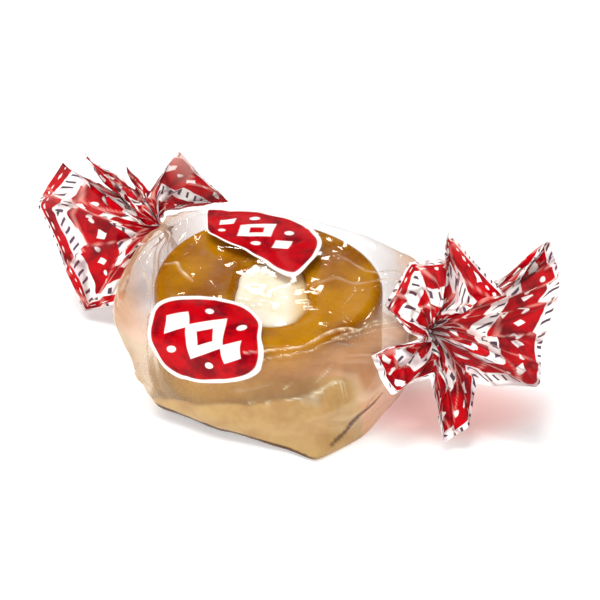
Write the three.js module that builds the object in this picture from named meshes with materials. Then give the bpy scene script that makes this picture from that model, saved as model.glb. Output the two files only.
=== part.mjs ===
// A twist-wrapped caramel: a thick round disc of soft caramel with a core of cream that runs
// through it, loose in a clear film wrapper. The film is one rolled sheet. It stands off the
// disc in a boxy fold along the front, is gathered into pleats and twisted shut at both ends,
// and flares past each twist into a crumpled tail, whose free edge is folded to and fro.
//
// Millimetres, +Z up. The underside lies on z = 0 and the origin is in its middle, under the
// disc's axis. The twist runs along X. Front is -Y.
import * as THREE from "three";
import { mergeVertices } from "three/addons/utils/BufferGeometryUtils.js";

// ---- driving dimensions --------------------------------------------------------------------
const FILM = 0.25; // wall of the film's solid
const GAP = 0.35; // air between pieces that touch

const DISC_RADIUS = 14.1;
const DISC_TOP = 13.9;
const DISC_BOTTOM = FILM + GAP;
const DISC_EDGE = 1.3; // radius of the disc's upper rim
const DISC_FOOT = 2.6; // and of its lower one
const DISC_SIDES = 48;
const OVAL = 0.02; // how far the disc is pressed out of round
const CREAM_RADIUS = 5.6;
const CREAM_AT = { x: 1.6, y: -1.8 }; // the core lies off the disc's axis
const CREAM_OVAL = 0.2; // and is pressed oval
const CREAM_TURN = THREE.MathUtils.degToRad(117); // the way its long axis points
const CREAM_SIDES = 24;
const CREAM_DISH = 0.15; // the cream lies this far below the caramel's faces

const BODY_RADIUS = 15.6; // film round the disc, seen from above
const BACK_HUG = 0.955; // how much closer it is drawn at the back
const BODY_TOP = 14.8;
const BODY_MID = 7.0; // height of the body's middle line
const BODY_SAG = 8.3; // how far down the loose underside would reach; the table flattens it
const BOX_WIDTH = 15.3; // half width of the boxy fold under the front
const BACK_BOX_SHARE = 0.5; // how much of that fold the back has
const BACK_RISE = 0.8; // how much higher the loose film stands over the disc's back rim
const ROUND_POWER = 6.5; // squareness of the body's upper section
const BOX_POWER = 4; // squareness of its lower section
const LEAN_TOP = 12.5; // up to this height the ends of the boxy fold lean outwards

const SECTION_ROUNDING = 0.7; // how early the section turns round on its way to a neck
const SLACK = 0.35; // height of the slow waves in the loose film
const SLACK_END = 8; // distance from the middle at which the film starts to be drawn tight
const SHIFT_START = 10; // and at which its middle line starts to move towards the neck
const SHIFT_POWER = 1.5;

const NECK_RADIUS = 1.4;
const PLEATS = 8;
const PLEAT_GROWTH = 1.7;
const PLEAT_REACH = 4.5; // pleats grow no higher where the section is wider than this
const TWIST_START = 14;
const TWIST_POWER = 1.6;
const STEPS_PER_PLEAT = 6;
const BODY_STEPS = 30;
const TAIL_STEPS = 8;
const STATION_CROWDING = 0.6; // how far the body's rows crowd towards its necks
const TAIL_FLOOR = 0.15; // the lowest that a tail's edge may hang
const TAIL_FLARE = 1.4; // how far the neck opens along the lead of its tail
const PLEAT_FADE = 3; // how fast the pleats fade out along a tail

// Each end: where its neck is; how far the boxy fold runs towards it, and how much less far at
// the foot; how much of that fold the upper halves of the front and the back have; how far the
// underside and the top run before they close, and how fast all these close; how far from the
// middle each pleat begins, and how high the pleats are at the neck as a share of its radius;
// its turn of twist; and the corners at which the tail's free edge is folded, measured from the
// neck. Pleats and corners go round the axis from +Y over +Z.
const RIGHT = {
  neck: new THREE.Vector3(21.2, 0.5, 13),
  boxEnd: 15.5,
  boxPower: 1,
  boxLean: 2,
  frontShare: 0.4,
  backShare: 0.55,
  sagEnd: 15.5,
  sagPower: 1.6,
  topEnd: 13,
  topPower: 1.5,
  pleatStarts: [9, 4, 10, 3, 8, 5, 10, 7],
  pleatHeight: 0.36,
  lead: new THREE.Vector3(3.6, 0.4, 0.6),
  turn: THREE.MathUtils.degToRad(60),
  firstCorner: THREE.MathUtils.degToRad(15),
  corners: [
    [14, 10.5, 5],
    [10.5, 14, 8],
    [9.7, 3, 6.6],
    [-1.5, 10, 8.2],
    [1, 4, 8.8],
    [-3.5, 3.5, 7],
    [-4, -2.5, 4.2],
    [1, -3.5, 1.5],
    [-3, -8, 0.5],
    [-0.5, -8.5, -4],
    [3, -4, -3.5],
    [5.5, -5.5, -12],
    [8, -3, -10],
    [7.5, 0, -5.5],
    [16, 0, -3],
    [14, 4.5, -0.5],
  ],
};
const LEFT = {
  neck: new THREE.Vector3(-17.8, 5.4, 13),
  boxEnd: 14.4,
  boxPower: 2.6,
  boxLean: 8.5,
  frontShare: 1,
  backShare: 0,
  sagEnd: 12.5,
  sagPower: 2,
  topEnd: 12.5,
  topPower: 2.5,
  pleatStarts: [8, 10, 5, 9, 9, 11, 10, 8],
  pleatHeight: 0.17,
  lead: new THREE.Vector3(-3.4, 0.6, 0.2),
  turn: THREE.MathUtils.degToRad(-25),
  firstCorner: THREE.MathUtils.degToRad(15),
  corners: [
    [3, 13, -3.5],
    [-3, 9.5, 5],
    [-3.5, 3, 2.5],
    [-7.5, 4, 5],
    [-6, 4, 1.5],
    [-12.5, 2, 6.3],
    [-8, 3, 0.8],
    [-13.3, -2, 7],
    [-18, -1.5, -1.7],
    [-8, -7, -11.5],
    [-3, -6, -9.2],
    [-5, 1, -4],
    [-9, 3, -8.5],
    [-7, 1, -2.5],
    [-11, 9, -5],
    [-4, 6, -2],
  ],
};

// ---- small helpers -------------------------------------------------------------------------
const { lerp, clamp, smoothstep } = THREE.MathUtils;

// A signed power, as a superellipse needs.
function signedPower(value, power) {
  return Math.sign(value) * Math.abs(value) ** power;
}

// 0 up to start and 1 at end.
function closing(distance, start, end, power) {
  return clamp((distance - start) / (end - start), 0, 1) ** power;
}

// ---- caramel and cream ---------------------------------------------------------------------
// The disc is pressed slightly out of round.
function outOfRound(angle) {
  return 1 + OVAL * Math.cos(2 * angle) + 0.6 * OVAL * Math.cos(3 * angle - 1.1);
}

// The cream is more so, and the caramel's bore with it.
function creamOval(angle) {
  return 1 + CREAM_OVAL * Math.cos(2 * (angle - CREAM_TURN));
}

function lathe(profile, sides) {
  const geometry = new THREE.LatheGeometry(profile, sides);
  geometry.deleteAttribute("normal");
  geometry.deleteAttribute("uv");
  geometry.rotateX(Math.PI / 2);
  return mergeVertices(geometry, 1e-4);
}

function caramelGeometry() {
  const bore = CREAM_RADIUS + GAP;
  const foot = DISC_RADIUS - DISC_FOOT;
  const rim = DISC_RADIUS - DISC_EDGE;
  const profile = new THREE.Path();
  profile.moveTo(bore, DISC_BOTTOM);
  profile.lineTo(foot, DISC_BOTTOM);
  profile.absarc(foot, DISC_BOTTOM + DISC_FOOT, DISC_FOOT, -Math.PI / 2, 0, false);
  profile.lineTo(DISC_RADIUS, DISC_TOP - DISC_EDGE);
  profile.absarc(rim, DISC_TOP - DISC_EDGE, DISC_EDGE, 0, Math.PI / 2, false);
  profile.lineTo(bore, DISC_TOP);
  profile.lineTo(bore, DISC_BOTTOM);
  const geometry = lathe(profile.getPoints(4), DISC_SIDES);
  const place = geometry.attributes.position;
  for (let i = 0; i < place.count; i += 1) {
    const x = place.getX(i);
    const y = place.getY(i);
    const outward = smoothstep(Math.hypot(x, y), bore, foot);
    const angle = Math.atan2(y, x);
    const factor = lerp(creamOval(angle), outOfRound(angle), outward);
    const inward = 1 - outward;
    place.setXY(i, x * factor + CREAM_AT.x * inward, y * factor + CREAM_AT.y * inward);
  }
  return geometry;
}

function creamGeometry() {
  const low = DISC_BOTTOM + CREAM_DISH;
  const high = DISC_TOP - CREAM_DISH;
  const rim = 0.4;
  const profile = [
    new THREE.Vector2(0, low),
    new THREE.Vector2(CREAM_RADIUS - rim, low),
    new THREE.Vector2(CREAM_RADIUS, low + rim),
    new THREE.Vector2(CREAM_RADIUS, high - rim),
    new THREE.Vector2(CREAM_RADIUS - rim, high),
    new THREE.Vector2(0, high),
  ];
  const geometry = lathe(profile, CREAM_SIDES);
  const place = geometry.attributes.position;
  for (let i = 0; i < place.count; i += 1) {
    const x = place.getX(i);
    const y = place.getY(i);
    const factor = creamOval(Math.atan2(y, x));
    place.setXY(i, x * factor + CREAM_AT.x, y * factor + CREAM_AT.y);
  }
  return geometry;
}

// ---- the film ------------------------------------------------------------------------------
// Half width of film drawn tight from the neck's ring round the disc, seen from above.
function hugWidth(distance, neckDistance) {
  const reach = Math.hypot(neckDistance, NECK_RADIUS);
  const touch = Math.acos(BODY_RADIUS / reach) + Math.atan2(NECK_RADIUS, neckDistance);
  const touchX = BODY_RADIUS * Math.cos(touch);
  if (distance < touchX) return Math.sqrt(BODY_RADIUS ** 2 - distance ** 2);
  const share = (distance - touchX) / (neckDistance - touchX);
  return lerp(BODY_RADIUS * Math.sin(touch), NECK_RADIUS, share);
}

// How far round the twist the film has turned at a distance from the middle.
function twistAt(end, distance) {
  return end.turn * closing(distance, TWIST_START, Math.abs(end.neck.x), TWIST_POWER);
}

// How far a pleat stands out of the sheet, as a share of the section's radius: sharp crests,
// each starting at its own distance from the middle and highest at the neck.
function pleatShare(end, distance, angle) {
  const along = (angle / (2 * Math.PI)) * PLEATS;
  const nearest = Math.round(along);
  const crest = 1 - 2 * Math.abs(along - nearest);
  const start = end.pleatStarts[nearest % PLEATS];
  return end.pleatHeight * crest * closing(distance, start, Math.abs(end.neck.x), PLEAT_GROWTH);
}

// Slow waves in the film where it isn't drawn tight.
function slackAt(x, angle, tightness) {
  const wave = Math.sin(x / 4.1 + 2 * angle) * Math.cos(3 * angle - x / 7);
  return SLACK * (1 - tightness) * (0.5 + 0.5 * wave);
}

// The sheet between the two necks, without its pleats, and the height of the pleat there.
// angle is 0 at +Y and a quarter turn at +Z.
function bodyPoint(x, angle) {
  const end = x < 0 ? LEFT : RIGHT;
  const distance = Math.abs(x);
  const neckDistance = Math.abs(end.neck.x);
  const turned = angle + twistAt(end, distance);
  const up = Math.sin(turned);
  const out = Math.cos(turned);

  const centreShare = closing(distance, SHIFT_START, neckDistance, SHIFT_POWER);
  const centreY = lerp(0, end.neck.y, centreShare);
  const centreZ = lerp(BODY_MID, end.neck.z, centreShare);

  const topClose = closing(distance, end.topEnd, neckDistance, end.topPower);
  const sagClose = closing(distance, end.sagEnd, neckDistance, end.sagPower);
  const rise = BACK_RISE * smoothstep(out, -0.2, 0.7);
  const top = lerp(BODY_TOP + rise, end.neck.z + NECK_RADIUS, topClose);
  const bottom = lerp(BODY_MID - BODY_SAG, end.neck.z - NECK_RADIUS, sagClose);

  const lowness = smoothstep(-up, -0.1, 0.7);
  const square = lerp(ROUND_POWER, BOX_POWER, lowness);
  const roundness = closing(distance, end.boxEnd, neckDistance, SECTION_ROUNDING);
  const power = 2 / lerp(square, 2, roundness);
  const slack = slackAt(x, angle, closing(distance, SLACK_END, neckDistance, 1));
  const height = up > 0 ? top - centreZ : centreZ - bottom;
  const z = centreZ + (height + slack) * signedPower(up, power);

  const lean = end.boxLean * (1 - clamp(z / LEAN_TOP, 0, 1));
  const boxClose = closing(distance + lean, end.boxEnd, neckDistance, end.boxPower);
  const frontShare = Math.max(lowness, end.frontShare);
  const backShare = Math.max(lowness * BACK_BOX_SHARE, end.backShare);
  const hug = hugWidth(distance, neckDistance) * (out < 0 ? 1 : BACK_HUG);
  const box = lerp(BOX_WIDTH, NECK_RADIUS, boxClose);
  const width = lerp(hug, Math.max(hug, box), out < 0 ? frontShare : backShare);
  const y = centreY + (width + slack) * signedPower(out, power);
  const radius = Math.min(Math.hypot(y - centreY, z - centreZ), PLEAT_REACH);
  const pleat = pleatShare(end, distance, angle) * radius;
  return { place: new THREE.Vector3(x, y, z), pleat, floor: 0 };
}

// The tail's free edge, measured from its neck: straight from one corner to the next. turned is
// the angle after the twist.
function tailEdge(end, turned) {
  const count = end.corners.length;
  const along = ((turned - end.firstCorner) / (2 * Math.PI)) * count + count;
  const index = Math.floor(along + 1e-6);
  const corner = new THREE.Vector3(...end.corners[index % count]);
  const next = new THREE.Vector3(...end.corners[(index + 1) % count]);
  return corner.lerp(next, Math.max(along - index, 0));
}

// The sheet of a tail, with what is left of its pleat. share is 0 at the neck and 1 at the
// free edge.
function tailPoint(end, share, angle) {
  const turned = angle + end.turn;
  const start = new THREE.Vector3(0, Math.cos(turned), Math.sin(turned)).multiplyScalar(NECK_RADIUS);
  const middle = start.clone().multiplyScalar(TAIL_FLARE).add(end.lead);
  const curve = new THREE.QuadraticBezierCurve3(start, middle, tailEdge(end, turned));
  const place = curve.getPoint(share).add(end.neck);
  const pleat = pleatShare(end, Math.abs(end.neck.x), angle) * NECK_RADIUS * (1 - share) ** PLEAT_FADE;
  return { place, pleat, floor: TAIL_FLOOR };
}

// Rows of points from the left tail's edge to the right tail's edge, closer together where the
// body closes towards its necks.
function sheetRows() {
  const around = PLEATS * STEPS_PER_PLEAT;
  const row = (pointAt) => Array.from({ length: around }, (_, j) => pointAt((j / around) * 2 * Math.PI));
  const tailRow = (end, i) => row((angle) => tailPoint(end, i / TAIL_STEPS, angle));
  const middle = (LEFT.neck.x + RIGHT.neck.x) / 2;
  const half = (RIGHT.neck.x - LEFT.neck.x) / 2;
  const rows = [];
  for (let i = TAIL_STEPS; i > 0; i -= 1) rows.push(tailRow(LEFT, i));
  for (let i = 0; i <= BODY_STEPS; i += 1) {
    const even = (2 * i) / BODY_STEPS - 1;
    const x = middle + half * lerp(even, Math.sin((even * Math.PI) / 2), STATION_CROWDING);
    rows.push(row((angle) => bodyPoint(x, angle)));
  }
  for (let i = 1; i <= TAIL_STEPS; i += 1) rows.push(tailRow(RIGHT, i));
  return rows;
}

// The direction out of the wrapper at one point of the sheet.
function sheetNormal(rows, i, j) {
  const around = rows[0].length;
  const ahead = rows[Math.min(i + 1, rows.length - 1)][j].place;
  const behind = rows[Math.max(i - 1, 0)][j].place;
  const left = rows[i][(j + 1) % around].place;
  const right = rows[i][(j + around - 1) % around].place;
  return left.clone().sub(right).cross(ahead.clone().sub(behind)).normalize();
}

// Closes the rolled sheet into one solid: the outer face, the inner face, and the two edges.
// Pleats and thickness are both measured along the normal of the plain sheet, so that the two
// faces of a tight pleat never cross. The table flattens what would hang below it.
function filmGeometry() {
  const rows = sheetRows();
  const around = rows[0].length;
  const outside = [];
  const inside = [];
  rows.forEach((row, i) =>
    row.forEach(({ place, pleat, floor }, j) => {
      const normal = sheetNormal(rows, i, j);
      const face = place.clone().addScaledVector(normal, pleat);
      face.z = Math.max(face.z, floor);
      const back = face.clone().addScaledVector(normal, -FILM);
      back.z = Math.max(back.z, floor);
      outside.push(face);
      inside.push(back);
    }),
  );
  const outer = (i, j) => i * around + (j % around);
  const inner = (i, j) => outside.length + outer(i, j);
  const faces = [];
  const quad = (a, b, c, d) => faces.push(a, b, c, a, c, d);
  const last = rows.length - 1;
  for (let j = 0; j < around; j += 1) {
    for (let i = 0; i < last; i += 1) {
      quad(outer(i, j), outer(i, j + 1), outer(i + 1, j + 1), outer(i + 1, j));
      quad(inner(i + 1, j + 1), inner(i, j + 1), inner(i, j), inner(i + 1, j));
    }
    quad(outer(0, j), inner(0, j), inner(0, j + 1), outer(0, j + 1));
    quad(outer(last, j), outer(last, j + 1), inner(last, j + 1), inner(last, j));
  }
  const points = [...outside, ...inside].flatMap((point) => point.toArray());
  const geometry = new THREE.BufferGeometry();
  geometry.setAttribute("position", new THREE.Float32BufferAttribute(points, 3));
  geometry.setIndex(faces);
  return geometry;
}

// ---- assembly ------------------------------------------------------------------------------
function piece(name, geometry, colour, roughness) {
  geometry.computeVertexNormals();
  const material = new THREE.MeshStandardMaterial({ color: colour, roughness, metalness: 0 });
  const mesh = new THREE.Mesh(geometry, material);
  mesh.name = name;
  return mesh;
}

const group = new THREE.Group();
group.add(piece("caramel", caramelGeometry(), 0xad6b12, 0.35));
group.add(piece("cream", creamGeometry(), 0xfbf3df, 0.5));
group.add(piece("wrapper", filmGeometry(), 0xe6d8bd, 0.12));

export default group;
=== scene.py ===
"""Wrapped caramel candy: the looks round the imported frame.

A soft caramel disc with a cream core lies in a loose clear film wrapper, which is twisted shut at
both ends and flares into two crumpled, printed tails. The film is one rolled sheet. It follows the
same formulas as the wrapper's solid, as a sheet without thickness, with the finer creases added
along its normal. It laps over itself along the lower back and is drawn together at the necks.

Lengths are in millimetres until a mesh is made; meshes, lights and camera are in metres.
The object's front is -Y and its twist runs along X.
"""

import math
from types import SimpleNamespace

import bpy
import numpy as np
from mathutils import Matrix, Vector


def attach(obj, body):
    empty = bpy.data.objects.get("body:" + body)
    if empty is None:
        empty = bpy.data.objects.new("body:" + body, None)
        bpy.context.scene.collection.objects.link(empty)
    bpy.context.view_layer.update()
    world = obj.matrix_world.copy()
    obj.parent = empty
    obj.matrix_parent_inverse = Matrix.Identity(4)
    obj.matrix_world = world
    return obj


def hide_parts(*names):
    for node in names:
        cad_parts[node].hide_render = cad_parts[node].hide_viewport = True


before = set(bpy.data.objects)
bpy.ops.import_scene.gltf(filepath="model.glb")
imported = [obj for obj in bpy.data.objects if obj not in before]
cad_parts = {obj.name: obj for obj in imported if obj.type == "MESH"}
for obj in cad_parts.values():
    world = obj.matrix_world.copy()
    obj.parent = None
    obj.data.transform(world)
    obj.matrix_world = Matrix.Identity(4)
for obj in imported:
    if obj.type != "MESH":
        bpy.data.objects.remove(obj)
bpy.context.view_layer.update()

MM = 0.001
TURN = 2 * math.pi

# ---- sizes shared with the solids -------------------------------------------------------------
DISC_RADIUS = 14.1
DISC_TOP = 13.9
DISC_BOTTOM = 0.6
DISC_EDGE = 1.3
DISC_FOOT = 2.6
OVAL = 0.02
CREAM_RADIUS = 5.6
CREAM_AT = (1.6, -1.8)
CREAM_OVAL = 0.2
CREAM_TURN = math.radians(117)
CREAM_DISH = 0.15
BORE_GAP = 0.06  # between the visible cream and its bore

BODY_RADIUS = 15.6
BACK_HUG = 0.955
BODY_TOP = 14.8
BODY_MID = 7.0
BODY_SAG = 8.3
BOX_WIDTH = 15.3
BACK_BOX_SHARE = 0.5
BACK_RISE = 0.8
ROUND_POWER = 6.5
BOX_POWER = 4.0
LEAN_TOP = 12.5
SECTION_ROUNDING = 0.7
SLACK = 0.35
SLACK_END = 8.0
SHIFT_START = 10.0
SHIFT_POWER = 1.5

NECK_RADIUS = 1.4
PLEATS = 8
PLEAT_GROWTH = 1.7
PLEAT_REACH = 4.5
TWIST_START = 14.0
TWIST_POWER = 1.6
TAIL_FLOOR = 0.15
TAIL_FLARE = 1.4

RIGHT = SimpleNamespace(
    neck=(21.2, 0.5, 13.0),
    box_end=15.5,
    box_power=1.0,
    box_lean=2.0,
    front_share=0.4,
    back_share=0.55,
    sag_end=15.5,
    sag_power=1.6,
    top_end=13.0,
    top_power=1.5,
    pleat_starts=(9, 4, 10, 3, 8, 5, 10, 7),
    pleat_height=0.36,
    lead=(3.6, 0.4, 0.6),
    turn=math.radians(60),
    first_corner=math.radians(15),
    print_slant=math.radians(330),
    print_shift=0.2,
    corners=(
        (14, 10.5, 5),
        (10.5, 14, 8),
        (9.7, 3, 6.6),
        (-1.5, 10, 8.2),
        (1, 4, 8.8),
        (-3.5, 3.5, 7),
        (-4, -2.5, 4.2),
        (1, -3.5, 1.5),
        (-3, -8, 0.5),
        (-0.5, -8.5, -4),
        (3, -4, -3.5),
        (5.5, -5.5, -12),
        (8, -3, -10),
        (7.5, 0, -5.5),
        (16, 0, -3),
        (14, 4.5, -0.5),
    ),
)
LEFT = SimpleNamespace(
    neck=(-17.8, 5.4, 13.0),
    box_end=14.4,
    box_power=2.6,
    box_lean=8.5,
    front_share=1.0,
    back_share=0.0,
    sag_end=12.5,
    sag_power=2.0,
    top_end=12.5,
    top_power=2.5,
    pleat_starts=(8, 10, 5, 9, 9, 11, 10, 8),
    pleat_height=0.17,
    lead=(-3.4, 0.6, 0.2),
    turn=math.radians(-25),
    first_corner=math.radians(15),
    print_slant=math.radians(60),
    print_shift=1.7,
    corners=(
        (3, 13, -3.5),
        (-3, 9.5, 5),
        (-3.5, 3, 2.5),
        (-7.5, 4, 5),
        (-6, 4, 1.5),
        (-12.5, 2, 6.3),
        (-8, 3, 0.8),
        (-13.3, -2, 7),
        (-18, -1.5, -1.7),
        (-8, -7, -11.5),
        (-3, -6, -9.2),
        (-5, 1, -4),
        (-9, 3, -8.5),
        (-7, 1, -2.5),
        (-11, 9, -5),
        (-4, 6, -2),
    ),
)

# ---- the film's own detail --------------------------------------------------------------------
BODY_ROWS = 170
TAIL_ROWS = 45
COLUMNS = 360
LAP_ANGLE = math.radians(-30)  # where the sheet's inner edge lies, on the lower back
LAP_WIDTH = math.radians(24)
LAP_RISE = 0.22
CONTACT = 0.12  # the film comes no nearer to the caramel than this
FILM_FLOOR = 0.02  # the film's body comes no nearer to the floor than this

# Crumples are sets of flat facets: the size of a facet, and how much longer it is along the twist.
BROAD = (8.5, 1.5)
MIDDLE = (4.6, 1.4)
FINE = (2.3, 1.3)
TAIL_RIDGES = (3.2, 1.9)
FACET_MEAN = 0.35  # about the mean height that facets() gives
CRUMPLE_SEED = 11
RADIATING_PLEATS = 34  # small pleats that radiate from each neck
# The crests of the tails' facets get a painted highlight.
RIDGE_WIDTH = 0.07  # the part of a facet's height that counts as its pale crest
# The bottoms of the tails' folds get painted shade.
VALLEY_WIDTH = 0.14  # the same for the dark bottoms of the tails' folds

GATHER_REACH = 1.5  # how far from a neck its tightest gathers reach
GATHER_DEPTH = (0.72, 0.28)  # shallowest gather, and how much deeper the deepest is, in neck radii
GATHER_WAVES = 5  # round a neck, with two folds each

LABEL_STEP = 20.5  # from label to label round the wrapper
LABEL_AT = (-0.9, -14.9, 13.9)  # the middle of the label on the front shoulder
# Labels: step round the wrapper, shift along X, turn in degrees, length, width, how far the label
# is bent into an S, and how much wider its one end is.
LABELS = (
    (-0.035, -0.6, 18, 17.2, 14.8, 0.5, -0.12),
    (-1.113, -4.5, 38, 22.6, 10.2, 1.6, 0.28),
    (-2.1, -1.0, 3, 16.0, 12.4, 0.3, 0.1),
    (1.12, -3.0, -9, 16.0, 12.4, 0.3, 0.0),
)
LABEL_WARP = 0.8  # how far the crumpled film moves a label's outline
LABEL_SQUARENESS = 1.55  # power of a label's outline, 2 being an ellipse
LABEL_WHITE_RIM = (0.9, 0.93)  # the outline's share where the red ends
MOTIF_WIDTH = 14  # the width of a label whose motif has the sizes in medallion()

# The tails' print, in millimetres from the free edge.
RED_BANDS = ((1.9, 6.7), (9.0, 14.6), (16.4, 40.0))
FIGURE_ROWS = (4.1, 11.5)
FIGURE_PITCH = 3.4
STROKE_ROWS = (0.95, 7.6, 15.1)
STROKE_PITCH = 1.25
PRINT_SLANT = 2.1  # half of how much nearer to the edge the bands are on one side of a tail
FACET_SHIFT = 2.3  # how far the figures shift from one facet of a tail to the next
JUMP = 1.5  # how far the bands shift at most between two creases

# Long creases: the points that each passes, its height, its half width and how strong the
# painted highlight along it is.
CREASES = (
    (
        (
            (4.2, -14.4, 14.2),
            (6.5, -13.5, 14.3),
            (10.5, -11.0, 14.6),
            (13.9, -5.8, 14.8),
            (19.4, 0.2, 14.4),
        ),
        (0.5, 0.34, 1.0),
    ),
    (
        ((6.8, -14.2, 13.7), (11.8, -10.8, 14.0), (15.6, -6.0, 14.1), (19.6, -1.0, 13.6)),
        (0.35, 0.26, 0.8),
    ),
    (((10.2, -14.8, 7.8), (13.2, -11.5, 9.3), (15.2, -9.7, 10.7)), (0.3, 0.26, 0.9)),
    (((12.9, -11.7, 10.8), (13.7, -11.2, 11.9), (14.4, -10.7, 12.9)), (0.25, 0.2, 0.8)),
    (((2.8, -15.3, 8.2), (8.5, -14.9, 10.6)), (0.25, 0.4, 0.3)),
    (((4.5, -1.6, 15.0), (8.2, 2.9, 15.1), (13.6, 5.1, 15.0), (19.0, 1.6, 14.4)), (0.3, 0.24, 0.6)),
    (((6.1, 7.1, 15.2), (13.0, 6.4, 15.2), (19.0, 2.0, 14.4)), (0.3, 0.24, 0.6)),
    (((-12.2, -4.1, 14.8), (-9.8, -4.6, 15.0), (-7.4, -5.8, 15.1)), (0.35, 0.36, 0.8)),
    (((-10.8, -11.2, 14.4), (-13.6, -7.0, 14.6), (-15.4, -1.2, 14.8)), (0.3, 0.3, 0.6)),
    (((-15.4, -1.2, 14.8), (-16.6, 3.6, 14.4)), (0.4, 0.5, 0.4)),
    (((-8.2, -14.6, 4.5), (-14.7, -11.1, 9.5)), (0.3, 0.4, 0.3)),
    (((13.2, -8.2, 14.7), (16.2, -3.6, 14.8), (19.6, 0.4, 14.4)), (0.3, 0.6, 0.7)),
    (((5.2, -15.2, 6.8), (6.0, -15.2, 7.1)), (0.2, 0.3, 0.7)),
    (((7.4, -15.1, 7.3), (8.0, -15.0, 7.6)), (0.2, 0.3, 0.6)),
    (((9.8, -14.8, 9.6), (10.8, -14.4, 10.6)), (0.2, 0.25, 0.8)),
)
# Painted shade along the film's folds, as dark lines: points and half width.
FOLDS = (
    (((14.7, -11.4, 1.3), (15.4, -9.7, 1.9), (16.4, -7.5, 3.6), (18.2, -4.9, 6.2)), 0.6),
)


# ---- camera, in metres ------------------------------------------------------------------------
CAMERA_AZIMUTH = math.radians(27)
CAMERA_ELEVATION = math.radians(36.5)
CAMERA_DISTANCE = 0.46
CAMERA_TARGET = Vector((0.0039, 0.0014, 0.0113))
VIEW_WIDTH = 0.075


def make_camera():
    level = math.cos(CAMERA_ELEVATION)
    back = Vector(
        (
            math.sin(CAMERA_AZIMUTH) * level,
            -math.cos(CAMERA_AZIMUTH) * level,
            math.sin(CAMERA_ELEVATION),
        )
    )
    data = bpy.data.cameras.new("camera")
    data.lens = data.sensor_width * CAMERA_DISTANCE / VIEW_WIDTH
    data.clip_start, data.clip_end = 0.01, 20
    camera = bpy.data.objects.new("camera", data)
    camera.location = CAMERA_TARGET + back * CAMERA_DISTANCE
    camera.rotation_euler = (-back).to_track_quat("-Z", "Y").to_euler()
    bpy.context.scene.collection.objects.link(camera)
    bpy.context.scene.camera = camera


# ---- small helpers ----------------------------------------------------------------------------
def closing(distance, start, end, power):
    """0 up to start and 1 at end."""
    return np.clip((distance - start) / (end - start), 0, 1) ** power


def smoothstep(value, low, high):
    share = np.clip((value - low) / (high - low), 0, 1)
    return share * share * (3 - 2 * share)


def mix(a, b, share):
    return a + (b - a) * share


def signed_power(value, power):
    return np.sign(value) * np.abs(value) ** power


def new_object(name, verts_mm, faces, smooth=True):
    """A mesh object from points in millimetres and faces of three or four corners."""
    mesh = bpy.data.meshes.new(name)
    mesh.from_pydata((np.asarray(verts_mm) * MM).tolist(), [], faces)
    mesh.validate()
    mesh.polygons.foreach_set("use_smooth", [smooth] * len(mesh.polygons))
    piece = bpy.data.objects.new(name, mesh)
    bpy.context.scene.collection.objects.link(piece)
    return piece


def grid_faces(rows, columns):
    """Quads over a grid of points, row by row."""
    i, j = np.meshgrid(np.arange(rows - 1), np.arange(columns - 1), indexing="ij")
    first = i * columns + j
    quads = np.stack([first, first + 1, first + columns + 1, first + columns], -1)
    return quads.reshape(-1, 4).tolist()


# ---- the film's sheet -------------------------------------------------------------------------
def hug_width(distance, neck_distance):
    """Half width of film drawn tight from the neck's ring round the disc, seen from above."""
    reach = math.hypot(neck_distance, NECK_RADIUS)
    touch = math.acos(BODY_RADIUS / reach) + math.atan2(NECK_RADIUS, neck_distance)
    touch_x = BODY_RADIUS * math.cos(touch)
    round_part = np.sqrt(np.maximum(BODY_RADIUS**2 - distance**2, 0))
    share = (distance - touch_x) / (neck_distance - touch_x)
    straight = mix(BODY_RADIUS * math.sin(touch), NECK_RADIUS, share)
    return np.where(distance < touch_x, round_part, straight)


def pleat_share(end, distance, angle):
    along = angle / TURN * PLEATS
    nearest = np.round(along).astype(int)
    crest = 1 - 2 * np.abs(along - nearest)
    start = np.asarray(end.pleat_starts, float)[nearest % PLEATS]
    return end.pleat_height * crest * closing(distance, start, abs(end.neck[0]), PLEAT_GROWTH)


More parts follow.
